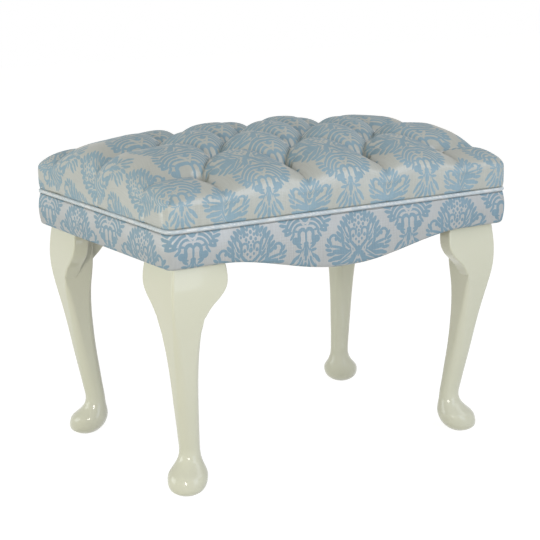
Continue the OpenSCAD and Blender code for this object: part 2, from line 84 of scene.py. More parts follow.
def edge_drop(x):
    """How far the frame's lower edge hangs below its ends, x from the middle."""
    run = half_w - serpentine_start
    curved = run * 0.95
    return serpentine_drop * smooth((run - np.abs(x)) / curved)


def waves(p, size, seed):
    """A smooth, fixed unevenness from -1 to 1 over points p, about size long."""
    rng = np.random.default_rng(seed)
    total = np.zeros(len(p))
    for k in range(6):
        way = rng.normal(size=3)
        way *= 2 * math.pi / (size * rng.uniform(0.7, 1.6) * np.linalg.norm(way))
        total += np.sin(p @ way + rng.uniform(0, 6.28))
    return total / 4


def stand(name, data):
    """A new object of the scene that shows the data."""
    made = bpy.data.objects.new(name, data)
    bpy.context.scene.collection.objects.link(made)
    return made


def piece(name, points, faces, material, uvs=None):
    """Makes a mesh piece from points in millimetres; uvs are one pair for each face corner."""
    mesh = bpy.data.meshes.new(name)
    mesh.from_pydata((np.asarray(points, float) * MM).tolist(), [], [tuple(int(i) for i in f) for f in faces])
    mesh.update()
    if uvs is not None:
        layer = mesh.uv_layers.new(name="cloth")
        layer.data.foreach_set("uv", (np.asarray(uvs, float) * MM).ravel())
    for polygon in mesh.polygons:
        polygon.use_smooth = True
    mesh.materials.append(material)
    made = stand(name, mesh)
    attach(made, "root")
    return made


def skin(rows, cols, closed=False, u=None, v=None):
    """Quads over rows of points, each row closed on itself; closed joins the last row to the first. u and v,
    one row and one column longer where those are closed, give the cloth's place at each corner."""
    faces, uvs = [], []
    for k in range(rows if closed else rows - 1):
        for c in range(cols):
            corners = (k, c), (k + 1, c), (k + 1, c + 1), (k, c + 1)
            faces.append(tuple(i % rows * cols + j % cols for i, j in corners))
            if u is not None:
                uvs += [(u[i][j], v[i][j]) for i, j in corners]
    return faces, uvs


def capped(rows, cols):
    """Quads over rows of points as skin makes them, with a face over the first row and one over the last."""
    return skin(rows, cols)[0] + [tuple(range(cols)), tuple(range((rows - 1) * cols, rows * cols))[::-1]]


def level(plan, z):
    """Points of the plan, all at height z."""
    return np.column_stack([plan, np.full(len(plan), z)])


def circle(x, y, r, angles):
    return np.stack([x + r * np.cos(angles), y + r * np.sin(angles)], 1)


def outward(points, faces):
    """The same faces, each wound so that the closed shape's normals point out."""
    p = np.asarray(points, float)
    volume = 0.0
    for f in faces:
        for k in range(1, len(f) - 1):
            volume += np.dot(p[f[0]], np.cross(p[f[k]], p[f[k + 1]]))
    return faces if volume > 0 else [tuple(reversed(f)) for f in faces]


# Materials

def srgb(text):
    """A colour written as on a paint card, in the renderer's linear values."""
    parts = [int(text[i:i + 2], 16) / 255 for i in (1, 3, 5)]
    return [c / 12.92 if c <= 0.04045 else ((c + 0.055) / 1.055) ** 2.4 for c in parts] + [1.0]


def add(tree, kind, *values, named=None, **settings):
    """Adds a node. values fill its inputs in order, named fills them by name; returns its first output."""
    made = tree.nodes.new("ShaderNode" + kind)
    for name, value in settings.items():
        setattr(made, name, value)
    pairs = list(zip([s for s in made.inputs if s.enabled], values))
    pairs += [(made.inputs[name], value) for name, value in (named or {}).items()]
    for socket, value in pairs:
        if isinstance(value, bpy.types.NodeSocket):
            tree.links.new(value, socket)
        elif value is not None:
            socket.default_value = value
    return next((s for s in made.outputs if s.enabled), None)


def finish_material(build, name=None):
    """A new material whose surface is what build returns, under build's own name unless one is given."""
    material = bpy.data.materials.new(name or build.__name__)
    material.use_nodes = True
    tree = material.node_tree
    tree.nodes.clear()
    add(tree, "OutputMaterial", build(tree))
    return material


def place(tree, scale=(1, 1, 1), turn=(0, 0, 0), spot=None):
    """A place in metres, the object's own unless spot is given, turned and scaled."""
    if spot is None:
        spot = add(tree, "TexCoord").node.outputs["Object"]
    return add(tree, "Mapping", spot, (0, 0, 0), turn, scale)


def noise(tree, stretch, scale, detail, rough=None, spot=None):
    return add(tree, "TexNoise", place(tree, stretch, spot=spot), scale, detail, rough)


def calc(tree, operation, *values):
    return add(tree, "Math", *values, operation=operation)


def ramp(tree, value, low, high, start=0.0, end=1.0):
    """Carries a value's range from low to high over to start to end."""
    return add(tree, "MapRange", value, low, high, start, end)


def mixed(tree, share, first, second):
    """Two paint-card colours, share of the way from the first to the second."""
    return add(tree, "Mix", share, srgb(first), srgb(second), data_type="RGBA")


def bumped(tree, height, strength, depth):
    """Relief for the light only, depth metres deep."""
    return add(tree, "Bump", named={"Strength": strength, "Distance": depth, "Height": height})


def surface(tree, paint, rough, relief=None, more=None):
    named = {"Base Color": paint, "Roughness": rough, **(more or {})}
    if relief is not None:
        named["Normal"] = relief
    return add(tree, "BsdfPrincipled", named=named)


# The figure's half, to the right of its middle line, in millimetres: x, y, angle, half length, half width.
# It is an ordinary ogee damask: a leafy crown over a scrolled base, a fan, two horns and a leafy tail.
FIGURE_LEAVES = [
    # Crown: leaflets up the outside in overlapping clusters
    (0, 84, 90, 6, 3.0), (5.5, 79, 64, 6, 2.7), (11.5, 76, 52, 6, 2.7), (11, 70, 58, 6.5, 2.5),
    (17, 70.5, 50, 6, 2.6), (22.5, 68.5, 46, 6, 2.8), (21, 62, 60, 6.5, 2.4), (27, 62.5, 52, 6.5, 2.8),
    (25.5, 55, 64, 7, 2.7), (31.5, 56.5, 50, 6.5, 2.6), (27, 47.5, 66, 7, 2.7), (33.5, 49, 48, 6, 2.6),
    (27.5, 39.5, 74, 7, 2.6), (33.5, 41.5, 50, 6, 2.5), (26, 32.5, 62, 6, 2.3),
    # Inner spray of leaflets beside the heart
    (16, 53, 74, 7, 2.6), (20.5, 47.5, 60, 6, 1.9), (14.5, 43.5, 80, 7, 2.2), (20, 39.5, 54, 6.5, 2.0),
    (18.5, 31.5, 42, 8, 2.1), (10, 33, 48, 11, 2.3), (5.2, 48.5, 84, 4.5, 1.6), (4, 26, 62, 8, 2.4),
    # Leafy masses of the base
    (0, 22, 90, 8, 4.2), (26, 27.5, 22, 10, 2.4), (33, 24, 8, 13, 3.8), (35, 15.5, -6, 13, 4.4),
    (19, 19.5, -34, 12, 4.0), (25, 9, -12, 14, 4.4), (9, 13, -58, 11, 4.4), (11, 3, -30, 13, 4.2),
    (31, 1, 4, 10, 3.2), (36, 7, 14, 9, 2.8),
    # Fan
    (38.5, -6, 34, 7, 2.5), (38.5, -13, 22, 7, 2.6), (36, -19.5, 10, 6.5, 2.6), (32, -26, -4, 6.5, 2.5),
    (28, -31.5, -20, 6, 2.3), (22, -36, -50, 6, 2.0), (17, -29, 10, 5, 1.7),
    # Horns and the stem between them
    (11.4, -39, 86, 7.5, 2.9), (0, -38, 90, 9, 1.7), (0, -49, 90, 5, 4.6), (12.5, -47, 10, 6, 1.8),
    # Tail, narrow at first and then spread and drawn to a point
    (11.5, -50.5, 36, 5.5, 2.3), (12, -57, 10, 5.5, 2.2), (6.5, -57, -62, 8, 2.2), (0, -62, 90, 10, 3.6),
    (14.5, -66, -30, 8, 2.7), (19.5, -71, -48, 7, 2.6), (11, -73, -62, 9, 2.8), (16, -79, -60, 6, 2.2),
    (5.5, -77, -74, 9, 2.6), (9.5, -84, -66, 5.5, 2.0), (0, -81, 90, 8, 2.8),
]
# The side scroll's leaves, which reach past the column into the next one
SCROLL_LEAVES = [
    (37, 31.5, 14, 11, 2.1), (47.5, 37, 74, 6, 2.2), (51.5, 41.5, 62, 5, 2.0), (53, 35, 34, 5, 2.3),
    (50.5, 28.5, 16, 6, 2.4), (47, 22, 4, 7, 2.7), (45, 14, -8, 6, 2.6), (38.6, 43, 80, 3, 2.6),
]
# Rings, of which the curls and ribs are made: x, y, radius, half width, lowest and highest y
FIGURE_RINGS = [
    (9.6, 49, 5.2, 1.7, 48, 60), (5.2, -34, 6.4, 2.7, -34, -20), (17.5, -42, 3.0, 2.2, -50, -36),
    (8, -33, 12.6, 1.8, -33, 0), (8, -33, 18.6, 2.1, -33, 0), (8, -33, 24.8, 2.2, -34, 0),
    (8, -33, 31, 2.0, -22, 10),
]
SCROLL_RINGS = [(42.8, 42.5, 6.2, 2.0, 42, 60)]
# Small lozenges in the crown's heart and the base
FIGURE_DOTS = [
    (0, 76.5, 2.3), (5.4, 72.5, 2.3), (0, 69, 2.6), (10.5, 64.5, 2.6), (5.2, 65.5, 2.3), (0, 61, 2.6),
    (15.5, 63, 2.1), (7.5, 59, 2.4), (3.4, 55.5, 2.0), (0, 51, 2.0), (9.6, 44.4, 2.6), (0, 44.5, 3.4),
    (5, 39, 2.0), (0, 34.6, 2.0), (0, -14.5, 3.4), (17.5, -42, 2.6),
]
# Gaps cut back to the ground: the horns' teardrops, the Y under the fan's dot, and the veins
GROUND_LEAVES = [
    (5.2, -38, 88, 8, 1.9), (5, -18.5, 56, 8, 1.8), (0, -25, 90, 3, 1.6), (11, 23, 74, 6, 1.0),
    (22, 17, -32, 10, 0.8), (38, 19.5, -2, 10, 0.8), (21, 10.5, -22, 10, 0.8), (37, 11.5, -2, 8, 0.8),
    (5, 9, -64, 9, 0.9), (15, 1.5, -22, 9, 0.8), (28, 4.2, 0, 9, 0.8), (5.2, -51, -76, 4, 1.1),
    (8.6, -63, -64, 7, 0.9), (2.9, -71, -84, 7, 0.8), (13.5, -73.5, -54, 6, 0.7), (38, -9.5, 28, 7, 0.7),
    (36, -16.5, 16, 7, 0.7), (24.5, 51, 64, 9, 0.7), (24, 43, 70, 7, 0.7),
]


def damask_figure(tree, cloth):
    """1 on the damask's figure and 0 on its ground; cloth is the place on the cloth in metres."""
    wide, drop = column_w * MM, half_drop * MM
    across, up, _ = add(tree, "SeparateXYZ", cloth).node.outputs
    column = calc(tree, "ROUND", calc(tree, "DIVIDE", across, wide))
    shifted = calc(tree, "MULTIPLY_ADD", column, drop, up)
    x = calc(tree, "ABSOLUTE", calc(tree, "MULTIPLY_ADD", column, -wide, across))
    y = calc(tree, "WRAP", shifted, drop, -drop)
    # The same point seen from the next column's middle line
    next_x = calc(tree, "SUBTRACT", wide, x)
    next_y = calc(tree, "WRAP", calc(tree, "ADD", shifted, drop), drop, -drop)

    def in_millimetres(x, y):
        """A place with a third part of 1, so that one dot product both turns and moves it."""
        return add(tree, "VectorMath", add(tree, "CombineXYZ", x, y, MM), named={"Scale": 1 / MM},
                   operation="SCALE")

    def dot(point, *weights):
        return add(tree, "VectorMath", point, weights, operation="DOT_PRODUCT")

    def nearest_leaf(leaves, point, best=None):
        for cx, cy, angle, length, width in leaves:
            c, s = math.cos(math.radians(angle)), math.sin(math.radians(angle))
            ahead = dot(point, c / length, s / length, -(cx * c + cy * s) / length)
            aside = dot(point, -s / width, c / width, (cx * s - cy * c) / width)
            reach = calc(tree, "MULTIPLY_ADD", aside, aside, calc(tree, "MULTIPLY", ahead, ahead))
            best = reach if best is None else calc(tree, "MINIMUM", best, reach)
        return best

    def nearest_ring(rings, point, height, best):
        for cx, cy, radius, half, low, high in rings:
            reach = add(tree, "VectorMath", point, (cx, cy, 1), operation="DISTANCE")
            off = calc(tree, "MULTIPLY_ADD", reach, 1 / half, -radius / half)
            drawn = calc(tree, "COMPARE", height, (low + high) / 2 * MM, (high - low) / 2 * MM)
            off = calc(tree, "MULTIPLY_ADD", off, off, calc(tree, "MULTIPLY_ADD", drawn, -4.0, 4.0))
            best = calc(tree, "MINIMUM", best, off)
        return best

    spot, beyond = in_millimetres(x, y), in_millimetres(next_x, next_y)
    dots = [(cx, cy, 0, r * 0.9, r * 1.1) for cx, cy, r in FIGURE_DOTS]
    figure = nearest_leaf(FIGURE_LEAVES + SCROLL_LEAVES + dots, spot)
    figure = nearest_leaf(SCROLL_LEAVES, beyond, figure)
    figure = nearest_ring(FIGURE_RINGS + SCROLL_RINGS, spot, y, figure)
    figure = nearest_ring(SCROLL_RINGS, beyond, next_y, figure)
    inked = ramp(tree, figure, 0.85, 1.17, 1.0, 0.0)
    return calc(tree, "MULTIPLY", inked, ramp(tree, nearest_leaf(GROUND_LEAVES, spot), 0.7, 1.25))


figure_group = bpy.data.node_groups.new("damask_figure", "ShaderNodeTree")
figure_group.interface.new_socket("Cloth", in_out="INPUT", socket_type="NodeSocketVector")
figure_group.interface.new_socket("Figure", in_out="OUTPUT", socket_type="NodeSocketFloat")
figure_input = figure_group.nodes.new("NodeGroupInput")
figure_output = figure_group.nodes.new("NodeGroupOutput")
figure = damask_figure(figure_group, figure_input.outputs["Cloth"])
figure_group.links.new(figure, figure_output.inputs["Figure"])


def damask(name, ground, figure, bias):
    """Jacquard-woven viscose and cotton damask: a satin ground whose warp floats catch the light in a broad
    band across them, and a matt weft figure. Its threads are 0.5 mm apart. The warp is drawn 2.8 mm apart and
    the weft 3.9 mm apart, to show."""
    def build(tree):
        cloth = place(tree, turn=(0, 0, math.radians(bias)), spot=add(tree, "UVMap", uv_map="cloth"))
        group = tree.nodes.new("ShaderNodeGroup")
        group.node_tree = figure_group
        tree.links.new(cloth, group.inputs["Cloth"])
        inked = group.outputs["Figure"]
        slub = noise(tree, (420, 36, 1), 1.0, 3.0, spot=cloth)
        cloud = noise(tree, (30, 30, 1), 1.0, 2.0, spot=cloth)
        slub, cloud = ramp(tree, slub, 0.3, 0.7, 0.95, 1.05), ramp(tree, cloud, 0.3, 0.7, 0.96, 1.03)
        shade = calc(tree, "MULTIPLY", slub, cloud)
        paint = add(tree, "Mix", 1.0, mixed(tree, inked, ground, figure),
                    add(tree, "CombineColor", shade, shade, shade), data_type="RGBA", blend_type="MULTIPLY")
        warp = add(tree, "TexWave", cloth, 113.64, 0.0, bands_direction="X")
        weft = add(tree, "TexWave", cloth, 79.58, 0.0, bands_direction="Y")
        threads = bumped(tree, calc(tree, "ADD", warp, weft), 0.2, 0.0004)
        return surface(tree, paint, ramp(tree, inked, 0.0, 1.0, 0.385, 0.8), threads, {
            "IOR": 1.75, "Specular IOR Level": 1.0, "Anisotropic": 0.65,
            "Tangent": add(tree, "Tangent", direction_type="UV_MAP", uv_map="cloth")})
    return finish_material(build, name)


def cream_gloss_paint(tree):
    """Cream gloss paint sprayed on carved hardwood: an even, slightly yellow coat with small highlights and
    only a breath of cloudiness."""
    cloud = noise(tree, (1, 1, 1), 9.0, 3.0)
    fine = noise(tree, (1, 1, 1), 260.0, 3.0)
    paint = mixed(tree, ramp(tree, cloud, 0.1, 0.9), "#d1d1ba", "#d5d4c1")
    rough = ramp(tree, cloud, 0.1, 0.9, 0.28, 0.34)
    return surface(tree, paint, rough, bumped(tree, fine, 0.012, 0.0005), {
        "IOR": 1.5, "Specular IOR Level": 0.2, "Coat Weight": 0.6, "Coat Roughness": 0.05})


def planed_beech(tree):
    """Planed beech, unfinished: pinkish straw colour with short darker flecks along the grain."""
    grain = noise(tree, (12, 90, 90), 2.0, 6.0, 0.6)
    fleck = noise(tree, (120, 900, 900), 1.0, 2.0)
    mix = calc(tree, "ADD", grain, ramp(tree, fleck, 0.55, 0.7, 0.0, 0.25))
    paint = mixed(tree, ramp(tree, mix, 0.35, 0.85), "#d9b98c", "#a87c4e")
    return surface(tree, paint, 0.62, bumped(tree, grain, 0.3, 0.0003))


def birch_plywood(tree):
    """Birch plywood: pale rotary-cut face with broad wandering grain."""
    wave = add(tree, "TexWave", place(tree, (1, 6, 30)), 6.0, 9.0, 3.0, 1.2, bands_direction="Y")
    fleck = noise(tree, (60, 900, 900), 1.0, 2.0)
    mix = calc(tree, "ADD", wave, ramp(tree, fleck, 0.5, 0.7, 0.0, 0.4))
    paint = mixed(tree, ramp(tree, mix, 0.0, 1.4), "#dcc196", "#b9925d")
    return surface(tree, paint, 0.65, bumped(tree, fleck, 0.2, 0.0003))


def bright_zinc_plate(tree):
    """Bright zinc-plated steel: cold grey with faint clouding."""
    cloud = noise(tree, (180, 180, 180), 1.0, 4.0)
    rough = ramp(tree, cloud, 0.3, 0.7, 0.26, 0.42)
    return surface(tree, mixed(tree, cloud, "#b4b8ba", "#d2d3cf"), rough, more={"Metallic": 1.0})


def waxed_linen_twine(tree):
    """Waxed linen button twine: straw coloured, with the twist of its plies."""
    ply = add(tree, "TexWave", place(tree, turn=(0.6, 0.6, 0)), 300.0, 1.0, bands_direction="Z")
    return surface(tree, mixed(tree, ply, "#a8987a", "#cbbd9c"), 0.55, bumped(tree, ply, 0.6, 0.0004))


def brown_card(tree):
    """Back-tacking card: pressed brown fibre with pale flecks."""
    fibre = noise(tree, (500, 500, 500), 1.0, 4.0)
    return surface(tree, mixed(tree, fibre, "#94805f", "#b5a27c"), 0.85)


def polyester_wadding(tree):
    """Bonded polyester wadding: white tangled fibre."""
    fibre = noise(tree, (350, 350, 900), 1.0, 5.0, 0.7)
    return surface(tree, mixed(tree, fibre, "#d9dad8", "#f2f2f0"), 0.95, bumped(tree, fibre, 0.8, 0.0008))


def cut_foam(tree):
    """Cut polyurethane foam: pale yellow with open cells about 1 mm across."""
    cell = add(tree, "TexVoronoi", place(tree), 1000.0)
    paint = mixed(tree, ramp(tree, cell, 0.0, 0.6), "#c9b878", "#efe3b4")
    return surface(tree, paint, 0.95, bumped(tree, cell, 0.7, 0.0008))


def black_bottom_cloth(tree):
    """Spun-bonded polypropylene bottom cloth: matt black with a fine point bond, about 2 mm apart."""
    bond = add(tree, "TexVoronoi", place(tree, (500, 500, 500)), 1.0)
    fibre = noise(tree, (900, 900, 900), 1.0, 3.0)
    return surface(tree, mixed(tree, fibre, "#17171a", "#2b2b2e"), 0.9, bumped(tree, bond, 0.5, 0.0004))


seat_damask = damask("seat_damask", "#a5a89f", "#7f9caa", 0)
# The border's copy of the one damask is painted a little darker than the seat's, most in its figure: painted
# shade
border_damask_painted_shade = damask("border_damask_painted_shade", "#9ea1a0", "#6a8999", 0)
# The piping's copy of the one damask is painted much paler, its figure almost lost in the ground: a painted
# satin sheen
piping_damask_painted_sheen = damask("piping_damask_painted_sheen", "#c8cccc", "#bac5ca", 45)
leg_paint = finish_material(cream_gloss_paint)
border_fibre = finish_material(polyester_wadding)
seat_foam = finish_material(cut_foam)
under_cloth = finish_material(black_bottom_cloth)

carried_over = {
    planed_beech: ["rail_front", "rail_back", "rail_left", "rail_right", "corner_blocks", "rail_dowels"],
    birch_plywood: ["seat_board"],
    bright_zinc_plate: ["block_screws", "hanger_bolts", "bolt_washers", "bolt_nuts", "seat_board_screws",
                        "twine_anchors", "cloth_staples"],
    waxed_linen_twine: ["button_twines"],
    brown_card: ["tack_strip"],
}
for build, names in carried_over.items():
    finish = finish_material(build)
    for name in names:
        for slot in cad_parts[name].material_slots:
            slot.material = finish


# Cabriole legs and knee brackets

LEG_TABLE = np.array([
    # height, inward run, toe, foot width, block width, section power
    (-0.004, 1, 1.55, 0, 0, 2), (0.012, 1, 1.55, 0.56, 0, 2), (0.03, 1, 1.4, 0.87, 0, 2),
    (0.053, 1, 1.15, 0.99, 0, 2), (0.08, 1, 0.9, 1, 0, 2), (0.11, 1, 0.35, 0.5, 0, 2),
    (0.142, 1, 0.05, 0.12, 0, 2), (0.176, 1, 0, 0, 0, 2),
    (0.22, 0.9, 0, 0, 0.04, 2), (0.275, 0.78, 0, 0, 0.09, 2.1), (0.332, 0.65, 0, 0, 0.14, 2.3),
    (0.39, 0.52, 0, 0, 0.19, 2.5), (0.456, 0.39, 0, 0, 0.25, 2.8), (0.522, 0.27, 0, 0, 0.33, 3.3),
    (0.59, 0.15, 0, 0, 0.45, 4), (0.655, 0.04, 0, 0, 0.63, 5.2), (0.72, -0.05, 0, 0, 0.83, 8),
    (0.765, -0.08, 0, 0, 1.03, 12), (0.815, -0.1, 0, 0, 1.18, 18), (0.888, -0.1, 0, 0, 1.24, 24),
    (1, 0, 0, 0, 1, 24)])
# So many of its rows start from the width of the foot's flat, and the others from the ankle's
FOOT_FLAT_ROWS = 5
EASING_PASSES = 200


def leg_stations():
    """Height, centre, half width and section power of the leg, in millimetres, at the table's stations."""
    z, run, toe, foot, block, power = LEG_TABLE.T
    base = np.where(np.arange(len(z)) < FOOT_FLAT_ROWS, foot_flat_d, ankle_d)
    half = (base + foot * (foot_d - base)) / 2 + block * (leg_block - ankle_d) / 2
    return np.stack([z * leg_h, leg_mid + run * ankle_run - toe * toe_run, half, power], 1)


def along(table, t):
    """Smooth values between a table's rows, for places t counted in rows, that never overshoot them."""
    i = np.clip(t.astype(int), 0, len(table) - 2)
    f = (t - i)[:, None]
    slope = np.gradient(table, axis=0)
    step = table[i + 1] - table[i]

    def held(m):
        most = 3 * np.abs(step)
        return np.where(m * step < 0, 0, np.clip(m, -most, most))

    return ((2 * f**3 - 3 * f**2 + 1) * table[i] + (f**3 - 2 * f**2 + f) * held(slope[i])
            + (3 * f**2 - 2 * f**3) * table[i + 1] + (f**3 - f**2) * held(slope[i + 1]))


def leg_profile():
    """The leg's stations drawn out to rows of height, centre, half width and section power, and eased along
    its length as sandpaper leaves it: least at the foot, and most from the knee into the block."""
    stations = leg_stations()
    fine = along(stations, np.linspace(0, len(stations) - 1, 1201))
    z = np.arange(0, leg_h + 0.5, 1.0)
    rows = np.stack([np.interp(z, fine[:, 0], fine[:, k]) for k in (1, 2, 3)], 1)
    heights = [4, 14, 60, 90, 220, 245, leg_h - 14, leg_h - 4]
    easing = np.interp(z, heights, [0, 0.065, 0.065, 0.14, 0.14, 0.5, 0.5, 0])[1:-1, None]
    for _ in range(EASING_PASSES):
        rows[1:-1] += easing * ((rows[:-2] + rows[2:]) / 2 - rows[1:-1])
    kept = np.unique(np.concatenate([np.arange(0, 12), np.arange(12, 70, 2), np.arange(70, 230, 5),
                                     np.arange(230, leg_h, 2), [leg_h]]))
    return np.column_stack([z, rows])[kept]


LEG_PROFILE = leg_profile()


def at_corner(points, signs):
    """Points measured inward from a corner of the piping line, placed at that corner."""
    sx, sy = signs
    p = np.asarray(points, float)
    return np.stack([sx * (half_w - p[:, 0]), sy * (half_d - p[:, 1]), p[:, 2]], 1)


def rounded_square(centre, half, radii, steps):
    """A square's outline with a radius for each corner: near the stool's corner, along X from it, inside
    and along Y from it."""
    arcs = []
    for (ox, oy, start), r in zip(((-1, -1, 180), (1, -1, 270), (1, 1, 0), (-1, 1, 90)), radii):
        a = np.radians(start + np.linspace(0, 90, steps))
        arcs.append(circle(centre + ox * (half - r), centre + oy * (half - r), r, a))
    # Points along the flats between the corners keep the shading even
    closed = []
    for k, arc in enumerate(arcs):
        after = arcs[(k + 1) % 4][0]
        closed += [arc, arc[-1] + (after - arc[-1]) * np.array([0.04, 0.5, 0.96])[:, None]]
    return np.concatenate(closed)


# Where the ears' tips run out on the leg
TIP_Z = leg_h - bracket_h - 12
SHARP_R, ARRIS_R, EAR_ARRIS_R = 0.25, 3.2, 2.6
# How far an ear's face sinks into the leg's at the tip, and its thickness there as a share of the full one
TIP_SINK, TIP_THICKNESS = 3.5, 0.55
# How far an ear laps into the leg, and reaches out of it at least
LAP, LEAST_REACH = 0.3, 0.35


def corner_radii(z, half, power):
    """Radii of a leg's section: soft on the outer arris, and square beside the ears that carry its faces on."""
    # An arc that cuts the section's diagonal where a rounded square of that power does
    plain = 3.414 * half * (1 - 2 ** (-1 / power))
    by_ear = float(np.interp(z, [TIP_Z - 40, TIP_Z - 8, TIP_Z + 12, TIP_Z + 22], [0, 0, 1, 1]))
    beside = max(SHARP_R, min(half, plain + (SHARP_R - plain) * by_ear))
    return min(half, max(plain, ARRIS_R)), beside, min(half, plain), beside


def cabriole_leg(corner, signs):
    """A leg from its floor up, with the hanger bolt's bore in its top."""
    rings = [level(rounded_square(centre, half, corner_radii(z, half, power), steps=19), z)
             for z, centre, half, power in LEG_PROFILE]
    sides = len(rings[0])
    bore = circle(leg_mid, leg_mid, (bolt_d + 0.2) / 2, math.pi + np.arange(sides) * 2 * math.pi / sides)
    rings += [level(bore, leg_h), level(bore, leg_h - bolt_depth)]
    points = at_corner(np.concatenate(rings), signs)
    faces = outward(points, capped(len(rings), sides))
    made = piece("cabriole_leg_" + corner, points, faces, leg_paint)
    made.data.set_sharp_from_angle(angle=math.radians(32))
    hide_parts("leg_" + corner)


# The ears' ogee, from the tip up: reach beside the leg and drop below its top, as shares of the whole
BRACKET_REACHES = [0, 0.035, 0.1, 0.19, 0.31, 0.45, 0.59, 0.73, 0.85, 0.94, 0.99, 1, 0.97, 0.91]
BRACKET_DROPS = [1.16, 1.06, 0.97, 0.89, 0.81, 0.74, 0.68, 0.61, 0.54, 0.46, 0.37, 0.26, 0.12, 0]


def bracket_shell():
    """One ear: its face runs on from the leg's, and a crisp arris turns it into the curved underside."""
    table = np.array([BRACKET_DROPS, BRACKET_REACHES]).T * [-bracket_h, bracket_reach] + [leg_h, 0]
    heights, centres, halves, _ = LEG_PROFILE.T
    rings = []
    for z, reach in along(table, np.linspace(0, len(table) - 1, 61)):
        centre, half = np.interp(z, heights, centres), np.interp(z, heights, halves)
        # The ear hides its joint inside the leg's side, and its tip runs out inside the leg
        into = LAP + TIP_SINK * (1 - float(smooth((z - TIP_Z) / 16)))
        face, start = centre - half + into - LAP, centre + half - into
        far = max(start + LEAST_REACH, centre + half + reach - into + LAP)
        depth = bracket_t * (TIP_THICKNESS + (1 - TIP_THICKNESS) * float(smooth((z - TIP_Z + 4) / 26)))
        arris_r = min(EAR_ARRIS_R, (far - start) * 0.8)
        t = np.linspace(0, math.pi / 2, 9)
        front = circle(far - arris_r, face + arris_r, arris_r, t - math.pi / 2)
        back = circle(far - arris_r, face + depth - arris_r, arris_r, t)
        flat = start + (far - arris_r - start) * np.linspace(0, 1, 6)[:-1]
        flat = np.stack([flat, np.full(5, face)], 1)
        rings.append(level(np.vstack([flat, front, back, [[start, face + depth]]]), z))
    return np.concatenate(rings), capped(len(rings), len(rings[0]))


def knee_brackets(corner, signs):
    """The two ears at a leg, one along the front or back rail and one along the side rail."""
    points, faces = bracket_shell()
    along_x, along_y = at_corner(points, signs), at_corner(points[:, [1, 0, 2]], signs)
    both = outward(along_x, faces) + [tuple(len(points) + i for i in f) for f in outward(along_y, faces)]
    made = piece("ears_" + corner, np.concatenate([along_x, along_y]), both, leg_paint)
    made.data.set_sharp_from_angle(angle=math.radians(50))
    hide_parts("knee_brackets_" + corner)


for corner, signs in corners.items():
    cabriole_leg(corner, signs)
    knee_brackets(corner, signs)


# Deep-buttoned cushion

EDGE_FADE = 0.4
# A pleat takes the first share of a button's depth, and the pull at the button itself the second. Higher
# powers make the lumps fuller.
PLEAT_PART, BUTTON_PART, PLEAT_POWER, BUTTON_POWER = 0.42, 0.58, 2.8, 2.1
# Folds along the pleats: half widths as shares of a lump's width, and heights in millimetres
CREASE_HALF, CREASE_DEPTH, LIP_AWAY, LIP_HALF, LIP_HEIGHT = 0.025, 2.4, 0.0385, 0.03, 0.9


def nearest(v):
    """0 where v is a whole number, and 1 halfway between two."""
    return np.abs(2 * (v - np.round(v)))


def sunk(u, v):
    """Share of the depth lost u and v of the way from a lump's middle to its pleats; a button is at (1, 1)."""
    along_pleat = u ** PLEAT_POWER + v ** PLEAT_POWER - (u * v) ** PLEAT_POWER
    return PLEAT_PART * along_pleat + BUTTON_PART * (u * v) ** BUTTON_POWER


def fading(v, start, end):
    """The straight pleats lose EDGE_FADE of their depth from the outer buttons to the edge."""
    return 1 - EDGE_FADE * smooth((v - start) / (end - start))


def depth_share(x, y):
    """Share of the depth lost at (x, y), both taken as positive: diamonds inside the outer buttons, and
    lumps between straight pleats outside them."""
    past_x, past_y = (x - outer_x) / (full_x - outer_x), (y - outer_y) / (full_y - outer_y)
    across = np.where(x <= outer_x, nearest(x / step_x), np.maximum(0, 1 - past_x))
    beside = np.where(y <= outer_y, nearest(y / step_y - 0.5), np.maximum(0, 1 - past_y))
    front = sunk(across, across) * fading(y, outer_y, full_y)
    side = sunk(beside, beside) * fading(x, outer_x, full_x)
    inner = sunk(nearest(x / step_x + y / step_y), nearest(x / step_x - y / step_y))
    return np.where((x <= outer_x) & (y <= outer_y), inner,
                    np.where(x <= outer_x, front, np.where(y <= outer_y, side, np.maximum(front, side))))


def fold_line(share):
    """Height over a pleat's line, share of a lump's width from it: a sunk crease with a lip on one side."""
    off = share - np.floor(share) - 0.5
    crease = CREASE_DEPTH * np.clip(1 - np.abs(off) / CREASE_HALF, 0, 1)
    return LIP_HEIGHT * np.clip(1 - np.abs(off - LIP_AWAY) / LIP_HALF, 0, 1) - crease


def folds(x, y):
    """Height of the folds along the diamond pleats, and along the straight ones out to the edges."""
    u, v = x / step_x, y / step_y
    past_x, past_y = np.abs(x) > outer_x + 0.01, np.abs(y) > outer_y + 0.01
    diamond = np.clip(fold_line(u + v) + fold_line(u - v), -3, 1)
    inner = np.where(past_x, fold_line(v - 0.5), diamond)
    return np.where(past_x & past_y, 0, np.where(past_y, fold_line(u), inner))


# How square the shoulder is at the left and right, and at the front and back
SIDE_SQUARE, FRONT_SQUARE = 3.3, 2.6


def shoulder_rise(d, power):
    """0 at the cushion's edge and 1 from the shoulder inward, d from the edge; a higher power is squarer."""
    s = np.clip(1 - d / shoulder, 0, 1)
    return (1 - s ** power) ** (1 / power)


def cushion_height(x, y):
    """Height of the cushion's top, squarer at its left and right than at its front and back."""
    u, v = np.abs(x), np.abs(y)
    crown = crown_z - crown_fall_x * (u / half_w) ** 2 - crown_fall_y * (v / half_d) ** 2
    top = crown - depth_share(u, v) * (crown - button_z)
    rise = (top - side_z) * shoulder_rise(full_x - u, SIDE_SQUARE) * shoulder_rise(full_y - v, FRONT_SQUARE)
    return side_z + rise


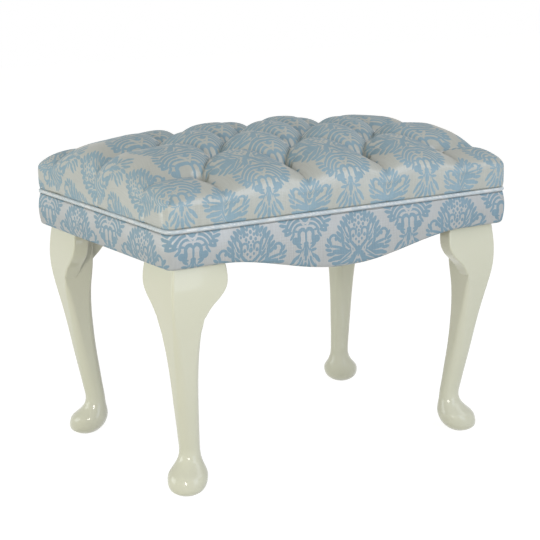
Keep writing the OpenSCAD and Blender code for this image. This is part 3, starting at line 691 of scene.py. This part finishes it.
def rounded(x, y, hx, hy, r):
    """Points of a rectangle, half as wide and deep as hx and hy, moved in so that its corners are round."""
    dx, dy = np.abs(x) - (hx - r), np.abs(y) - (hy - r)
    cut = (dx > 0) & (dy > 0)
    k = np.where(cut, np.maximum(dx, dy) / np.maximum(1e-9, np.hypot(dx, dy)), 1)
    return [np.where(cut, np.sign(v) * (h - r + d * k), v) for v, h, d in ((x, hx, dx), (y, hy, dy))]


def half_lines(inner, steps, outer):
    """Lines from the middle to the edge: even out to the outer buttons, then ever closer to the edge."""
    near_edge = outer - shoulder * np.linspace(1, 0, 25) ** 2.2
    between = np.linspace(inner, near_edge[0], 7)[1:-1] if near_edge[0] > inner + 3 else []
    return np.concatenate([np.linspace(0, inner, steps + 1)[1:], between, near_edge])


def both_ways(half):
    return np.concatenate([-half[::-1], [0], half])


# Lines of the top's mesh, with CELL spaces to half the buttons' spacing
CELL = 26
LINES_X = both_ways(half_lines(outer_x, 3 * CELL, full_x))
LINES_Y = both_ways(half_lines(outer_y, 2 * CELL, full_y))


def arc_beyond(lines, start, height):
    """Length over the cushion's surface from start outward, at each line, along one profile."""
    pos = lines[lines >= start - 1e-6]
    z = height(pos)
    return pos, np.concatenate([[0], np.cumsum(np.hypot(np.diff(pos), np.diff(z)))])


def stretched(d):
    """Cloth length from a lump's middle, d along the seat: the swelling takes a little more cloth."""
    return d * 1.03


ARC_Y = arc_beyond(LINES_Y, outer_y, lambda p: cushion_height(np.zeros(len(p)), p))
ARC_X = arc_beyond(LINES_X, outer_x, lambda p: cushion_height(p, np.full(len(p), step_y / 2)))
# Where the pattern falls on the lumps, how much further forward it lies on the front row, and how much
# shorter the way down a pleat is than the way over a lump, reached so far outside the outer buttons
MOTIF_SHIFT, FRONT_SHIFT, PLEAT_SHORT, SHORT_RUN = 18, 16, 16, 25


def shortening(beside_pleat, past, inside):
    """Cloth saved where a straight pleat runs out past the outer buttons."""
    return PLEAT_SHORT * smooth(nearest(beside_pleat)) * smooth(past / SHORT_RUN) * inside


def cloth_place(x, y, cell_x, cell_y, extra=0.0):
    """Where on the cloth a point of the cushion lies: (x, y) in the plan, in the lump that holds the
    point (cell_x, cell_y), with extra millimetres further down the side."""
    # Columns and half drops of the cloth, counted to the lump's middle
    u, v = cell_x / (step_x / 2), cell_y / (step_y / 2)
    a, b = np.round((u + v) / 2), np.round((u - v) / 2)
    front, side = np.abs(cell_y) > outer_y, np.abs(cell_x) > outer_x
    corner = front & side
    facing_front = full_y - np.abs(cell_y) < full_x - np.abs(cell_x)
    i = np.where(front, 2 * np.round(u / 2), a + b)
    i = np.where(side, np.where(corner & facing_front, 4, 3) * np.sign(cell_x), i)
    j = np.where(front, 2 * np.sign(cell_y), np.where(side, np.sign(cell_y), a - b))
    s = i * column_w + stretched(x - i * step_x / 2)
    t = j * half_drop + stretched(y - j * step_y / 2)
    # Past the outer buttons the cloth is measured over the shoulder
    wide, deep = np.abs(x), np.abs(y)
    over_y = np.interp(deep, *ARC_Y) - shortening(wide / step_x, deep - outer_y, wide <= outer_x)
    over_x = np.interp(wide, *ARC_X) - shortening(deep / step_y - 0.5, wide - outer_x, deep <= outer_y)
    use_y = front & (deep > outer_y) & (~corner | facing_front)
    use_x = side & (wide > outer_x) & (~corner | ~facing_front)
    t = np.where(use_y, np.sign(y) * (2 * half_drop + over_y + extra), t)
    s = np.where(use_x, np.sign(x) * (3 * column_w + over_x + extra), s)
    return np.stack([s, t + MOTIF_SHIFT + np.where(j < -1.5, FRONT_SHIFT, 0)], -1)


# Round a button: the dimple's height over the foam, radius and slope, and the folds that run out from it,
# their number, height, and where they start and end
DIMPLE_Z, DIMPLE_R, DIMPLE_SLOPE = 0.6, 12.4, 3.2
GATHERS, GATHER_HEIGHT, GATHER_START, GATHER_END = 6, 0.7, 10, 34


def drawn_to_buttons(x, y, z):
    """The top pulled down round each button, with shallow folds that run out from it."""
    for bx, by in buttons:
        r = np.hypot(x - bx, y - by)
        z = z + (foam_top + DIMPLE_Z - z) * smooth((DIMPLE_R - r) / DIMPLE_SLOPE)
        fold = np.cos(GATHERS * np.arctan2(y - by, x - bx) + bx + by)
        z = z + GATHER_HEIGHT * fold * smooth((r - GATHER_START) / 5) * smooth((GATHER_END - r) / 22)
    return z


def top_triangles():
    """The top's triangles, each cell cut along the way that the pleats run, and a point inside each."""
    nx = len(LINES_X)
    faces, inside = [], []
    for j in range(len(LINES_Y) - 1):
        for i in range(nx - 1):
            a = j * nx + i
            b, c, d = a + 1, a + nx + 1, a + nx
            wide, deep = LINES_X[i + 1] - LINES_X[i], LINES_Y[j + 1] - LINES_Y[j]
            x, y = LINES_X[i] + wide / 2, LINES_Y[j] + deep / 2
            falling = x * y < 0
            if abs(x) < outer_x and abs(y) < outer_y:
                falling = (math.floor(x / step_x * 2) + math.floor(y / step_y * 2)) % 2 == 0
            faces += [(a, b, d), (b, c, d)] if falling else [(a, b, c), (a, c, d)]
            for ox, oy in ((-1, -1), (1, 1)) if falling else ((1, -1), (-1, 1)):
                inside.append((x + ox * wide / 6, y + oy * deep / 6))
    return faces, np.array(inside)


def side_rows():
    """Rows of the sides from the fullest line in and down to the piping, then under it to the board: height,
    distance in, corner radius and share of the pleats' draw."""
    seam_z, seam_in = piping_z + piping_r + soft_gap, side_bulge + piping_r + soft_gap
    rows = []
    for t in np.linspace(0, 1, 13)[1:]:
        inward = side_bulge * (1 - math.sqrt(1 - (0.96 * t) ** 2)) * 1.25
        share = math.sin(math.pi * min(1, t * 1.1)) ** 0.5 if t < 0.9 else 0.4
        rows.append((side_z + (seam_z - side_z) * t, inward,
                     cushion_corner_r + (piping_corner_r - cushion_corner_r) * t ** 2, share))
    return rows + [(z, seam_in, piping_corner_r - piping_r, 0) for z in (seam_z, board_top)]


def tufted_cushion():
    """The sewn cover as one closed surface: its lumps and pleats, its sides, and beneath it a flat rim on
    the board and a recess that holds the foam."""
    gx, gy = (line.ravel() for line in np.meshgrid(LINES_X, LINES_Y))
    in_x, in_y = full_x - np.abs(gx), full_y - np.abs(gy)
    z = cushion_height(gx, gy) + folds(gx, gy) * smooth(np.minimum(in_x, in_y) / 9)
    top = np.stack([*rounded(gx, gy, full_x, full_y, cushion_corner_r), drawn_to_buttons(gx, gy, z)], 1)
    swell = 1.2 * waves(top, 90, 3)
    top[:, 2] += swell * shoulder_rise(in_x, FRONT_SQUARE) * shoulder_rise(in_y, FRONT_SQUARE)
    faces, inside = top_triangles()
    flat = np.array(faces).ravel()
    uvs = [cloth_place(gx[flat], gy[flat], *np.repeat(inside, 3, axis=0).T)]

    grid = np.arange(len(top)).reshape(len(LINES_Y), len(LINES_X))
    rim = np.concatenate([grid[0, :-1], grid[:-1, -1], grid[-1, :0:-1], grid[:0:-1, 0]])
    n = len(rim)
    rx, ry = gx[rim], gy[rim]
    pleat, fold = depth_share(np.abs(rx), np.abs(ry)) / (1 - EDGE_FADE), folds(rx, ry)
    on_x, on_y = np.abs(np.abs(rx) - full_x) < 1e-6, np.abs(np.abs(ry) - full_y) < 1e-6
    rows, sides = side_rows(), []
    for z, inward, radius, share in rows:
        hx, hy = full_x - inward, full_y - inward
        draw = share * (pleat_draw * pleat - 0.5 * fold)
        sx = np.where(on_x, hx - draw, np.abs(rx) * hx / full_x)
        sy = np.where(on_y, hy - draw, np.abs(ry) * hy / full_y)
        sides.append(level(np.stack(rounded(np.sign(rx) * sx, np.sign(ry) * sy, hx, hy, radius), 1), z))
    recess = np.array([half_w, half_d]) - foam_inset + soft_gap
    recess = np.stack([rx, ry], 1) * recess / [full_x, full_y]
    sides += [level(recess, board_top), level(recess, foam_top + soft_gap)]

    ids = [rim] + [len(top) + k * n + np.arange(n) for k in range(len(sides))]
    after = np.roll(np.arange(n), -1)
    next_x, next_y = rx[after], ry[after]
    cell_x = np.where(on_x & on_x[after], np.sign(rx) * (full_x + 1), (rx + next_x) / 2)
    cell_y = np.where(on_y & on_y[after], np.sign(ry) * (full_y + 1), (ry + next_y) / 2)
    heights = [side_z] + [row[0] for row in rows]
    down = 0.0
    for k in range(len(sides)):
        faces += list(zip(ids[k], ids[k + 1], ids[k + 1][after], ids[k][after]))
        # Out of sight under the cushion the cloth's length is only about right
        lower = down + (abs(heights[k + 1] - heights[k]) if k < len(rows) else 30)
        quad = [cloth_place(qx, qy, cell_x, cell_y, extra) for qx, qy, extra in (
            (rx, ry, down), (rx, ry, lower), (next_x, next_y, lower), (next_x, next_y, down))]
        uvs.append(np.stack(quad, 1).reshape(-1, 2))
        down = lower
    faces.append(tuple(ids[-1][::-1]))
    uvs.append(cloth_place(rx[::-1], ry[::-1], rx[::-1], ry[::-1], down))
    made = piece("buttoned_cushion", np.concatenate([top] + sides), faces, seat_damask, np.concatenate(uvs))
    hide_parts("seat_cover")


# A button's section: height over the foam, and radius
BUTTON_DOME = [(0.0, 8.6), (1.0, 9.7), (2.2, 10.0), (3.6, 9.7), (5.2, 8.2), (6.6, 5.8), (7.6, 3.0), (8.0, 0.6)]


def covered_buttons():
    """Buttons covered in the same cloth over a metal shell, each piece of cloth cut from a place of its own."""
    sides = 28
    angles = np.arange(sides) * 2 * math.pi / sides
    dome = np.concatenate([level(circle(0, 0, r, angles), foam_top + h) for h, r in BUTTON_DOME])
    dome_faces = outward(dome, capped(len(BUTTON_DOME), sides))
    points, faces, uvs = [], [], []
    for number, (bx, by) in enumerate(buttons):
        points.append(dome + [bx, by, 0])
        for f in dome_faces:
            faces.append(tuple(number * len(dome) + i for i in f))
            uvs += [(dome[i][0] + number * 31, dome[i][1] + number * 17) for i in f]
    made = piece("covered_buttons", np.concatenate(points), faces, seat_damask, uvs)
    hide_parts("cover_buttons")


tufted_cushion()
covered_buttons()


# Border, wadding and piping, all swept round the frame

def perimeter(r, step=3.0):
    """Points round the piping line, from the middle of the back through the left side, with the outward
    way at each and the length walked."""
    x, y = half_w - r, half_d - r
    # The line's runs, r inside it, each with a corner after it but the last
    marks = [(0, y), (-x, y), (-x, -y), (x, -y), (x, y), (0, y)]
    inner, angles = [], []
    for k, (start, end) in enumerate(zip(marks, marks[1:])):
        n, first = max(2, int(math.dist(start, end) / step)), 90 + 90 * k
        inner.append(np.linspace(start, end, n + 1)[:-1])
        angles.append(np.full(n, first))
        if k < 4:
            inner.append(np.full((12, 2), end))
            angles.append(np.linspace(first, first + 90, 13)[:-1])
    angles = np.radians(np.concatenate(angles))
    way = np.stack([np.cos(angles), np.sin(angles)], 1)
    path = np.concatenate(inner) + r * way
    return path, way, np.concatenate([[0], np.cumsum(np.hypot(*np.diff(path, axis=0).T))])


PATH, WAY, WALKED = perimeter(piping_corner_r)
LENGTH = WALKED[-1] + math.dist(PATH[-1], PATH[0])
FRONT_START = WALKED[np.argmin(np.hypot(PATH[:, 0] + half_w - piping_corner_r, PATH[:, 1] + half_d))]
# The cloth is pulled longer round the sides and back than over the front
SIDE_STRETCH = 1.10
# The pattern on the border starts this far above the band's top
PATTERN_TOP = 12
# How far the border's face stands out at its fullest, sinks in under the piping and wavers, and the radius
# of its lower edge
BORDER_OUT, SEAM_SINK, WAVER, EDGE_ROLL = 4.2, 0.6, 0.4, 6.5
FACE_ROWS = 15
# The band's thickness, how far behind its face the wadding lies, and how far in the wadding's back is
BORDER_T, WADDING_IN, WADDING_BACK = 0.9, 1.15, 2.9


def strip_place(walked):
    """Place along the border's cloth: a medallion's column stands 250 mm left of the front's middle."""
    from_corner = walked - FRONT_START
    first = 250 - half_w + piping_corner_r
    front_run = seat_w - 2 * piping_corner_r
    s = first + np.where(from_corner < 0, from_corner / SIDE_STRETCH, from_corner)
    return np.where(from_corner > front_run, first + front_run + (from_corner - front_run) / SIDE_STRETCH, s)


def lower_edge():
    """Height of the frame's lower edge at each point of the path."""
    shaped = np.abs(WAY[:, 1]) > 0.999
    return leg_h - np.where(shaped, edge_drop(PATH[:, 0]), 0)


def border_sections():
    """Rings of the border's section from under the piping, down the bulged face, round the lower edge and
    in under the rail."""
    low = lower_edge() - fabric_t
    wobble = waves(level(PATH, 0), 140, 5)
    sections = []
    for t in np.linspace(0, 1, FACE_ROWS):
        fullness = np.sin(math.pi * (0.06 + 0.80 * t)) ** 0.75
        bulge = (BORDER_OUT + SEAM_SINK + WAVER * wobble) * fullness - SEAM_SINK
        sections.append((border_top - (border_top - low - EDGE_ROLL) * t, bulge))
    last = sections[-1][1]
    for angle in np.radians(np.linspace(0, 90, 9)[1:]):
        sections.append((low + EDGE_ROLL * (1 - math.sin(angle)), last - EDGE_ROLL * (1 - math.cos(angle))))
    for share in (0.5, 1.0):
        sections.append((low, (last - EDGE_ROLL) * (1 - share) - turn_under * share))
    return sections


def sweep(sections, name, material, closed=False):
    """Joins sections of (height, distance outside the path) into a band round the frame. A closed one is a
    filling, which shows no pattern."""
    n = len(PATH)
    rings = []
    for z, off in sections:
        off = np.broadcast_to(off, (n,))
        xy = PATH + WAY * np.maximum(off, 1.5 - piping_corner_r)[:, None]
        # Where the offset would fold the corner, the point is moved in square with the frame
        limit = np.stack([half_w + off, half_d + off], 1)
        rings.append(np.column_stack([np.clip(xy, -limit, limit), np.broadcast_to(z, (n,))]))
    depth = np.full((len(rings), n), float(PATTERN_TOP))
    for k in range(1, len(rings)):
        depth[k] = depth[k - 1] + np.linalg.norm(rings[k] - rings[k - 1], axis=1)
    depth = np.column_stack([depth, depth[:, 0]])
    along_it = np.broadcast_to(strip_place(np.append(WALKED, LENGTH)), depth.shape)
    faces, uvs = skin(len(rings), n, closed, *(() if closed else (along_it, -depth)))
    return piece(name, np.concatenate(rings), faces, material, uvs or None)


def solidify(made, thickness):
    """Gives a sheet its thickness, inward, and returns the area that it had."""
    area = sum(p.area for p in made.data.polygons)
    thicken = made.modifiers.new("thickness", "SOLIDIFY")
    thicken.thickness = thickness * MM
    thicken.offset = -1
    apply_modifiers(made)
    return area


def apply_modifiers(made):
    graph = bpy.context.evaluated_depsgraph_get()
    mesh = bpy.data.meshes.new_from_object(made.evaluated_get(graph))
    old = made.data
    made.modifiers.clear()
    made.data = mesh
    bpy.data.meshes.remove(old)


def border_and_wadding():
    """The damask band, its cloth painted a little darker than the seat's as painted shade, and the thin fibre
    that fills it out.
    """
    sections = border_sections()
    border = sweep(sections, "border_band", border_damask_painted_shade)
    area = solidify(border, BORDER_T)
    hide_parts("border_cover")
    low = lower_edge() + 0.4
    back = [(low, -1.4), (low, -WADDING_BACK), (border_top, -WADDING_BACK)]
    wadding = sweep([(z, off - WADDING_IN) for z, off in sections[:FACE_ROWS]] + back, "border_fibre",
                    border_fibre, closed=True)
    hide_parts("border_wadding")


def piping_cord():
    """Cord in damask cut on the bias, its cloth painted paler than the seat's as a painted sheen; the tube's
    surface wavers a little, as a sewn cord's does.
    """
    sides, n = 16, len(PATH)
    angles = np.arange(sides + 1) * 2 * math.pi / sides
    swell = 1 + waves(level(PATH, 0), 60, 11) * 0.03
    lift = waves(level(PATH, 0), 170, 12) * 0.14
    rings = []
    for k in range(n):
        out, up = circle(0, piping_z + lift[k], piping_r * swell[k], angles[:-1]).T
        rings.append(np.column_stack([PATH[k] + WAY[k] * out[:, None], up]))
    points = np.concatenate(rings)
    walked, around = np.meshgrid(np.append(WALKED, LENGTH), angles * piping_r, indexing="ij")
    faces, uvs = skin(n, sides, True, walked, around)
    made = piece("piping_cord", points, faces, piping_damask_painted_sheen, uvs)
    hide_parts("piping")


border_and_wadding()
piping_cord()


# Foam and bottom cloth

def seat_foam_pad():
    """The firm pad with its buttons' holes, its edges softened as cut foam's are."""
    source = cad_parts["foam_pad"]
    made = source.copy()
    made.data = source.data.copy()
    made.name = "firm_foam"
    made.animation_data_clear()
    bpy.context.scene.collection.objects.link(made)
    made.parent = None
    made.matrix_world = source.matrix_world.copy()
    made.data.materials.clear()
    made.data.materials.append(seat_foam)
    remesh = made.modifiers.new("cells", "REMESH")
    remesh.mode = "VOXEL"
    remesh.voxel_size = 4 * MM
    made.modifiers.new("ease", "SMOOTH").iterations = 2
    apply_modifiers(made)
    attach(made, "root")
    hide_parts("foam_pad")


def bottom_cloth():
    """Black cloth stapled under the rails and cut round the legs; it sags a little between them."""
    edge = turn_under + soft_gap
    # The notch at a leg: past the leg's block, past the ears along a rail, and past their thickness
    block = leg_inset + leg_block + 2 * soft_gap
    reach, depth = block + bracket_reach, leg_inset + bracket_t + soft_gap
    sag, hang, spacing = 2.5, 0.25, 7

    def lines(half):
        marks = [0, half - reach, half - block, half - depth, half - edge]
        found = []
        for start, end in zip(marks, marks[1:]):
            found += list(np.linspace(start, end, max(2, int((end - start) / spacing)) + 1))[:-1]
        found.append(marks[-1])
        return np.array([-v for v in found[:0:-1]] + found)

    lx, ly = lines(half_w), lines(half_d)
    gx, gy = np.meshgrid(lx, ly)
    inside = np.clip((np.minimum(half_w - np.abs(gx), half_d - np.abs(gy)) - 30) / 60, 0, 1)
    z = (leg_h - edge_drop(gx) - hang - sag * smooth(inside)).ravel()
    points = level(np.stack([gx.ravel(), gy.ravel()], 1), 0)
    points[:, 2] = z - hang * np.abs(waves(points, 60, 21))
    faces = []
    for j in range(len(ly) - 1):
        for i in range(len(lx) - 1):
            x, y = half_w - abs(lx[i] + lx[i + 1]) / 2, half_d - abs(ly[j] + ly[j + 1]) / 2
            notch = (x < reach and y < depth) or (x < depth and y < reach) or (x < block and y < block)
            if not notch:
                a = j * len(lx) + i
                faces.append((a, a + len(lx), a + len(lx) + 1, a + 1))
    used, places = np.unique(faces, return_inverse=True)
    made = piece("black_bottom_cloth", points[used], places.reshape(-1, 4), under_cloth)
    area = solidify(made, 0.35)
    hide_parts("bottom_cloth")


seat_foam_pad()
bottom_cloth()


# Camera, fitted to the photograph's piping line, feet and outline

def bearing(turn, rise):
    """The way to a place turn degrees round from the front, to the right, and rise above the floor."""
    turn, rise = math.radians(turn), math.radians(rise)
    return Vector((math.sin(turn) * math.cos(rise), -math.cos(turn) * math.cos(rise), math.sin(rise)))


def camera():
    distance, aim_z, focal_px, centre_px, picture_px, sensor = 2.2498, 0.25, 1495.3, 271.0, 540, 36
    back, roll = bearing(-32.728, 12.975), math.radians(-0.582)
    right = (-back).cross(Vector((0, 0, 1))).normalized()
    up = right.cross(-back)
    right, up = math.cos(roll) * right + math.sin(roll) * up, -math.sin(roll) * right + math.cos(roll) * up
    data = bpy.data.cameras.new("photo_camera")
    data.sensor_width = sensor
    data.lens = focal_px * sensor / picture_px
    off_centre = (centre_px - picture_px / 2) / picture_px
    data.shift_x, data.shift_y = -off_centre, off_centre
    made = stand("photo_camera", data)
    made.matrix_world = Matrix((right, up, back)).transposed().to_4x4()
    made.location = Vector((0, 0, aim_z)) + back * distance
    bpy.context.scene.camera = made


def softbox(name, turn, rise, distance, size, power, colour):
    """A soft lamp, size wide and tall, that faces the seat."""
    data = bpy.data.lights.new(name, "AREA")
    data.shape = "RECTANGLE"
    data.size, data.size_y = size
    data.energy = power
    data.color = srgb(colour)[:3]
    made = stand(name, data)
    way, aim_z = bearing(turn, rise), 0.3
    made.location = Vector((0, 0, aim_z)) + way * distance
    made.rotation_euler = way.to_track_quat("Z", "Y").to_euler()


def pale_floor(tree):
    """Matt white, and bright to the camera and in reflections, where it still takes the stool's shadow."""
    rays = add(tree, "LightPath").node.outputs
    seen = calc(tree, "MAXIMUM", rays["Is Camera Ray"], rays["Is Glossy Ray"])
    matt, lit = add(tree, "BsdfDiffuse", srgb("#e6e6e2")), add(tree, "BsdfDiffuse", srgb("#a0a0a0"))
    bright = add(tree, "AddShader", lit, add(tree, "Emission", (1, 1, 1, 1), 0.87))
    return add(tree, "MixShader", seen, matt, bright)


def room():
    """White studio: a white world for the camera, reflections and clear things, and a soft one for the rest."""
    world = bpy.data.worlds.new("studio")
    world.use_nodes = True
    tree = world.node_tree
    tree.nodes.clear()
    rays = add(tree, "LightPath").node.outputs
    seen = calc(tree, "MAXIMUM", rays["Is Glossy Ray"], rays["Is Transmission Ray"])
    seen = calc(tree, "MAXIMUM", rays["Is Camera Ray"], seen)
    soft, white = add(tree, "Background", srgb("#f6f2e8"), 0.45), add(tree, "Background", (1, 1, 1, 1), 1.0)
    add(tree, "OutputWorld", add(tree, "MixShader", seen, soft, white))
    bpy.context.scene.world = world
    floor = bpy.data.meshes.new("floor")
    floor.from_pydata([(-6, -6, 0), (6, -6, 0), (6, 6, 0), (-6, 6, 0)], [], [(0, 1, 2, 3)])
    floor.materials.append(finish_material(pale_floor))
    stand("floor", floor)


camera()
room()
softbox("key_softbox", 10, 15, 2.2, (1.0, 1.8), 14.6, "#d9e4fa")
softbox("shoulder_softbox", 46, 40, 2.4, (1.1, 1.1), 7.8, "#e4eaf4")
softbox("left_softbox", -114, 6, 2.4, (1.3, 1.3), 18.5, "#e8eff2")
softbox("camera_lamp", -44, 11, 2.3, (0.4, 0.4), 15, "#fffdf8")
bpy.context.scene.view_settings.view_transform = "Standard"
